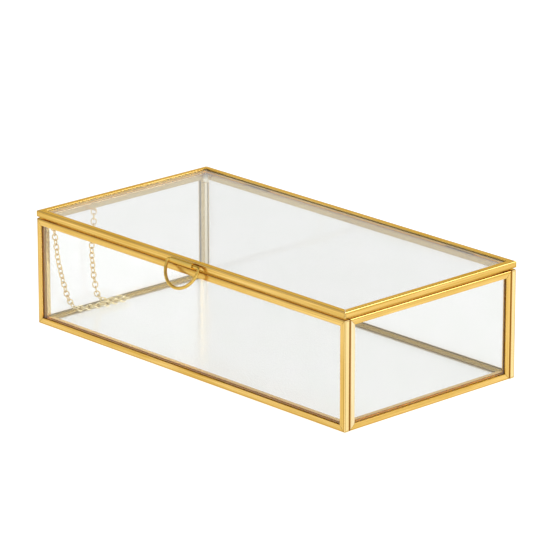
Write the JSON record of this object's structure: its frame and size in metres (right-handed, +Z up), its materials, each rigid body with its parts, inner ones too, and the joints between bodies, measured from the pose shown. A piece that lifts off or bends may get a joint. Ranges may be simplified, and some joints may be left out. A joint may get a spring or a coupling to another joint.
{
  "type": "jewelry box",
  "caption": "Low rectangular display box of clear glass in folded brass frames, with a hinged glass lid, a D-shaped ring pull and a fine stay chain, for jewelry and keepsakes.",
  "frame": {"origin": "on the surface the box stands on, under the middle of its whole outline with the ring pull and the hinges", "axes": "+X along the box to the right as seen from its front, +Y from the front with the ring pull to the back with the hinges, +Z up"},
  "size_m": [0.19, 0.1082, 0.0508],
  "materials": {
    "brass_frame": "brushed, thinly lacquered",
    "glass_pane": "clear",
    "solder": "satin, brass-plated solder",
    "brass_chain": "bright",
    "brass_pull": "polished",
    "brass_hinge": "satin"
  },
  "bodies": {
    "box": {"front_bottom_rail": "brass_frame", "front_right_stile": "brass_frame", "front_top_rail": "brass_frame", "front_left_stile": "brass_frame", "front_glass": "glass_pane", "back_bottom_rail": "brass_frame", "back_right_stile": "brass_frame", "back_top_rail": "brass_frame", "back_left_stile": "brass_frame", "back_glass": "glass_pane", "left_bottom_rail": "brass_frame", "left_back_stile": "brass_frame", "left_top_rail": "brass_frame", "left_front_stile": "brass_frame", "left_glass": "glass_pane", "right_bottom_rail": "brass_frame", "right_back_stile": "brass_frame", "right_top_rail": "brass_frame", "right_front_stile": "brass_frame", "right_glass": "glass_pane", "base_front_rail": "brass_frame", "base_right_rail": "brass_frame", "base_back_rail": "brass_frame", "base_left_rail": "brass_frame", "base_glass": "glass_pane", "corner_solder": "solder", "hinge_left_box_leaf": "brass_hinge", "hinge_left_pin": "brass_hinge", "hinge_right_box_leaf": "brass_hinge", "hinge_right_pin": "brass_hinge", "wall_eye": "brass_chain"},
    "lid": {"lid_front_rail": "brass_frame", "lid_right_rail": "brass_frame", "lid_back_rail": "brass_frame", "lid_left_rail": "brass_frame", "lid_glass": "glass_pane", "hinge_left_lid_leaf": "brass_hinge", "hinge_right_lid_leaf": "brass_hinge", "lid_eye": "brass_chain", "pull_tube": "brass_pull", "pull_solder": "solder"},
    "pull": {"pull_ring": "brass_pull"},
    "wall_run_1": {"chain_wall_run_1": "brass_chain"},
    "wall_run_2": {"chain_wall_run_2": "brass_chain"},
    "wall_run_3": {"chain_wall_run_3": "brass_chain"},
    "wall_run_4": {"chain_wall_run_4": "brass_chain"},
    "wall_run_5": {"chain_wall_run_5": "brass_chain"},
    "wall_run_6": {"chain_wall_run_6": "brass_chain"},
    "wall_run_7": {"chain_wall_run_7": "brass_chain"},
    "wall_run_8": {"chain_wall_run_8": "brass_chain"},
    "lid_run_1": {"chain_lid_run_1": "brass_chain"},
    "lid_run_2": {"chain_lid_run_2": "brass_chain"},
    "lid_run_3": {"chain_lid_run_3": "brass_chain"},
    "lid_run_4": {"chain_lid_run_4": "brass_chain"},
    "lid_run_5": {"chain_lid_run_5": "brass_chain"}
  },
  "joints": [
    {"name": "lid_hinge", "type": "hinge", "parent": "box", "child": "lid", "pos_m": [0, 0.05268, 0.04757], "axis": [-1, 0, 0], "range_deg": [0, 97.39]},
    {"name": "pull_hinge", "type": "hinge", "parent": "lid", "child": "pull", "pos_m": [0.00075, -0.04857, 0.0496], "axis": [-1, 0, 0], "range_deg": [-27, 165]},
    {"name": "wall_run_1_bend", "type": "hinge", "parent": "box", "child": "wall_run_1", "pos_m": [-0.09, -0.01937, 0.0449], "axis": [0.9996, -0.0213, 0.0183], "range_deg": [-0.5, 142.09]},
    {"name": "wall_run_2_bend", "type": "hinge", "parent": "wall_run_1", "child": "wall_run_2", "pos_m": [-0.08969, -0.02009, 0.02688], "axis": [0.9823, -0.1857, 0.0246], "range_deg": [-5.89, 0.5]},
    {"name": "wall_run_3_bend", "type": "hinge", "parent": "wall_run_2", "child": "wall_run_3", "pos_m": [-0.08937, -0.01962, 0.01788], "axis": [0.9994, -0.0037, 0.0348], "range_deg": [-6.5, 0.5]},
    {"name": "wall_run_4_bend", "type": "hinge", "parent": "wall_run_3", "child": "wall_run_4", "pos_m": [-0.08906, -0.01821, 0.00897], "axis": [0.9983, -0.0505, 0.0273], "range_deg": [-12.5, 0.5]},
    {"name": "wall_run_5_bend", "type": "hinge", "parent": "wall_run_4", "child": "wall_run_5", "pos_m": [-0.08898, -0.0176, 0.00738], "axis": [0.9986, -0.0448, 0.0295], "range_deg": [-23.48, 0.5]},
    {"name": "wall_run_6_bend", "type": "hinge", "parent": "wall_run_5", "child": "wall_run_6", "pos_m": [-0.08883, -0.01566, 0.00537], "axis": [0.9986, -0.041, 0.0332], "range_deg": [-14.48, 0.5]},
    {"name": "wall_run_7_bend", "type": "hinge", "parent": "wall_run_6", "child": "wall_run_7", "pos_m": [-0.08874, -0.01421, 0.00446], "axis": [0.9976, -0.0206, 0.0657], "range_deg": [-19.51, 0.5]},
    {"name": "wall_run_8_bend", "type": "hinge", "parent": "wall_run_7", "child": "wall_run_8", "pos_m": [-0.08865, -0.01148, 0.00383], "axis": [0.9882, 0, 0.1534], "range_deg": [-13.65, 0.5]},
    {"name": "lid_run_1_bend", "type": "hinge", "parent": "lid", "child": "lid_run_1", "pos_m": [-0.09, -0.04137, 0.0461], "axis": [0.9994, 0.0187, 0.0285], "range_deg": [-0.5, 50.71]},
    {"name": "lid_run_2_bend", "type": "hinge", "parent": "lid_run_1", "child": "lid_run_2", "pos_m": [-0.08953, -0.03933, 0.02818], "axis": [0.9997, -0.0048, 0.0258], "range_deg": [-8.5, 0.5]},
    {"name": "lid_run_3_bend", "type": "hinge", "parent": "lid_run_2", "child": "lid_run_3", "pos_m": [-0.08906, -0.03482, 0.01073], "axis": [0.9958, -0.0912, 0.0033], "range_deg": [-17.88, 0.5]},
    {"name": "lid_run_4_bend", "type": "hinge", "parent": "lid_run_3", "child": "lid_run_4", "pos_m": [-0.08874, -0.03156, 0.00548], "axis": [0.9888, -0.1462, -0.0312], "range_deg": [-37.41, 0.5]},
    {"name": "lid_run_5_bend", "type": "hinge", "parent": "lid_run_4", "child": "lid_run_5", "pos_m": [-0.08818, -0.02743, 0.00387], "axis": [0.9921, -0.1159, 0.0476], "range_deg": [-21.7, 0.5]}
  ],
  "couplings": [
    {"joint": "wall_run_1_bend", "follows": "lid_hinge", "ratio": 1.4538},
    {"joint": "wall_run_2_bend", "follows": "lid_hinge", "ratio": -0.05536},
    {"joint": "wall_run_3_bend", "follows": "lid_hinge", "ratio": -0.061568},
    {"joint": "wall_run_4_bend", "follows": "lid_hinge", "ratio": -0.12322},
    {"joint": "wall_run_5_bend", "follows": "lid_hinge", "ratio": -0.23594},
    {"joint": "wall_run_6_bend", "follows": "lid_hinge", "ratio": -0.14355},
    {"joint": "wall_run_7_bend", "follows": "lid_hinge", "ratio": -0.19517},
    {"joint": "wall_run_8_bend", "follows": "lid_hinge", "ratio": -0.13502},
    {"joint": "lid_run_1_bend", "follows": "lid_hinge", "ratio": 0.51553},
    {"joint": "lid_run_2_bend", "follows": "lid_hinge", "ratio": -0.082113},
    {"joint": "lid_run_3_bend", "follows": "lid_hinge", "ratio": -0.17843},
    {"joint": "lid_run_4_bend", "follows": "lid_hinge", "ratio": -0.37899},
    {"joint": "lid_run_5_bend", "follows": "lid_hinge", "ratio": -0.21763}
  ]
}
